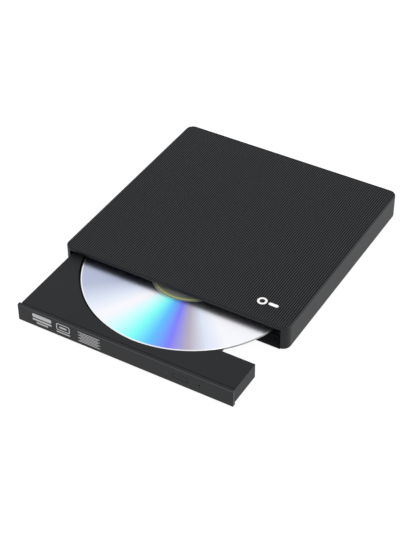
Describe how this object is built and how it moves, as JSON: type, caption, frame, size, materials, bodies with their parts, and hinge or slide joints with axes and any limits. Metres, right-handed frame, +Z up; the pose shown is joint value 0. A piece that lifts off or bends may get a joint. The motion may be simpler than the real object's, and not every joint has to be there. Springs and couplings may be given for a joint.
{
  "type": "external optical drive",
  "caption": "Slim external optical disc drive: ribbed flat case, pull-out tray on telescopic rails with spindle, pickup sled and a disc.",
  "frame": {"origin": "On the table, under the middle of the drive's overall length and width with its tray in the stored part-open position", "axes": "+Z up, -Y the way the tray comes out, +X to the right of someone facing the tray"},
  "size_m": [0.137, 0.1828, 0.0155],
  "materials": {
    "case_black": "fine ribbed satin",
    "base_black": "spark-eroded matt",
    "foot_rubber": "matt",
    "zinc_steel": "zinc-coated sheet",
    "screw_steel": "black oxide",
    "acetal_white": "waxy",
    "rail_steel": "rolled",
    "board_green": "solder mask",
    "chip_black": "moulded epoxy",
    "connector_cream": "moulded",
    "usb_shell": "nickel-plated",
    "usb_tongue": "moulded",
    "tray_black": "fine matt",
    "bezel_black": "satin",
    "light_pipe": "clear acrylic",
    "switch_body": "moulded",
    "solenoid": "enamelled copper winding",
    "deck_zinc": "die-cast",
    "damper_rubber": "soft",
    "rod_steel": "ground",
    "motor_can": "drawn",
    "stator": "copper winding on lamination",
    "rotor_can": "nickel-plated",
    "hub_plastic": "moulded",
    "friction_ring": "matt",
    "disc": "metallised polycarbonate",
    "lens_holder": "moulded",
    "lens": "coated"
  },
  "bodies": {
    "case": {"top_cover": "case_black", "bottom_cover": "base_black", "foot_1": "foot_rubber", "foot_2": "foot_rubber", "foot_3": "foot_rubber", "foot_4": "foot_rubber", "chassis_pan": "zinc_steel", "chassis_top": "zinc_steel", "chassis_screw_1": "screw_steel", "chassis_screw_2": "screw_steel", "chassis_screw_3": "screw_steel", "chassis_screw_4": "screw_steel", "latch_pin": "acetal_white", "left_guide": "acetal_white", "right_guide": "acetal_white", "main_board": "board_green", "usb_socket": "usb_shell", "usb_tongue": "usb_tongue", "bridge_chip": "chip_black", "motor_driver_chip": "chip_black", "board_connector": "connector_cream"},
    "left_rail": {"left_rail": "rail_steel"},
    "right_rail": {"right_rail": "rail_steel"},
    "tray": {"tray": "tray_black", "front_bezel": "bezel_black", "light_pipe": "light_pipe", "front_board": "board_green", "tact_switch": "switch_body", "latch_solenoid": "solenoid", "tray_cover": "zinc_steel", "tray_screw_1": "screw_steel", "tray_screw_2": "screw_steel", "tray_screw_3": "screw_steel", "tray_screw_4": "screw_steel", "tray_board": "board_green", "drive_chip": "chip_black", "tray_connector": "connector_cream", "deck_frame": "deck_zinc", "damper_1": "damper_rubber", "damper_2": "damper_rubber", "damper_3": "damper_rubber", "guide_rod_main": "rod_steel", "guide_rod_sub": "rod_steel", "sled_motor": "motor_can", "spindle_stator": "stator"},
    "button": {"eject_button": "bezel_black"},
    "latch": {"latch_lever": "acetal_white"},
    "spindle": {"spindle_rotor": "rotor_can", "turntable": "hub_plastic", "friction_ring": "friction_ring", "disc": "disc"},
    "pawl_1": {"chuck_pawl_1": "hub_plastic"},
    "pawl_2": {"chuck_pawl_2": "hub_plastic"},
    "pawl_3": {"chuck_pawl_3": "hub_plastic"},
    "sled": {"pickup_housing": "deck_zinc", "feed_nut": "acetal_white"},
    "lens": {"lens_holder": "lens_holder", "objective_lens": "lens"},
    "lead": {"lead_screw": "rod_steel"}
  },
  "joints": [
    {"name": "tray_slide", "type": "slide", "parent": "case", "child": "tray", "axis": [0, -1, 0], "range_m": [-0.0488, 0.0802]},
    {"name": "left_rail_slide", "type": "slide", "parent": "case", "child": "left_rail", "axis": [0, -1, 0], "range_m": [-0.0244, 0.0401]},
    {"name": "right_rail_slide", "type": "slide", "parent": "case", "child": "right_rail", "axis": [0, -1, 0], "range_m": [-0.0244, 0.0401]},
    {"name": "button_press", "type": "slide", "parent": "tray", "child": "button", "axis": [0, 1, 0], "range_m": [0, 0.0006], "stiffness_N_per_m": 800, "springref_m": -0.0005},
    {"name": "latch_pivot", "type": "hinge", "parent": "tray", "child": "latch", "pos_m": [0.057, -0.0784, 0.0052], "axis": [0, 0, -1], "range_deg": [0, 10], "stiffness_Nm_per_rad": 0.01, "springref_deg": -11.46},
    {"name": "spindle_spin", "type": "hinge", "parent": "tray", "child": "spindle", "pos_m": [0.0018, -0.0236, 0.006], "axis": [0, 0, 1], "continuous": true},
    {"name": "sled_slide", "type": "slide", "parent": "tray", "child": "sled", "axis": [-0.7431, 0.6691, 0], "range_m": [0, 0.033]},
    {"name": "lead_spin", "type": "hinge", "parent": "tray", "child": "lead", "pos_m": [-0.03133, -0.01557, 0.0059], "axis": [-0.7431, 0.6691, 0], "range_deg": [0, 3961]},
    {"name": "lens_focus", "type": "slide", "parent": "sled", "child": "lens", "axis": [0, 0, 1], "range_m": [-0.0004, 0.0004], "stiffness_N_per_m": 60},
    {"name": "pawl_1_slide", "type": "slide", "parent": "spindle", "child": "pawl_1", "axis": [0, -1, 0], "range_m": [0, 0.0005], "stiffness_N_per_m": 400, "springref_m": -0.0005},
    {"name": "pawl_2_slide", "type": "slide", "parent": "spindle", "child": "pawl_2", "axis": [0.866, 0.5, 0], "range_m": [0, 0.0005], "stiffness_N_per_m": 400, "springref_m": -0.0005},
    {"name": "pawl_3_slide", "type": "slide", "parent": "spindle", "child": "pawl_3", "axis": [-0.866, 0.5, 0], "range_m": [0, 0.0005], "stiffness_N_per_m": 400, "springref_m": -0.0005}
  ],
  "couplings": [
    {"joint": "left_rail_slide", "follows": "tray_slide", "ratio": 0.5},
    {"joint": "right_rail_slide", "follows": "tray_slide", "ratio": 0.5},
    {"joint": "lead_spin", "follows": "sled_slide", "rad_per_m": 2094.4}
  ]
}
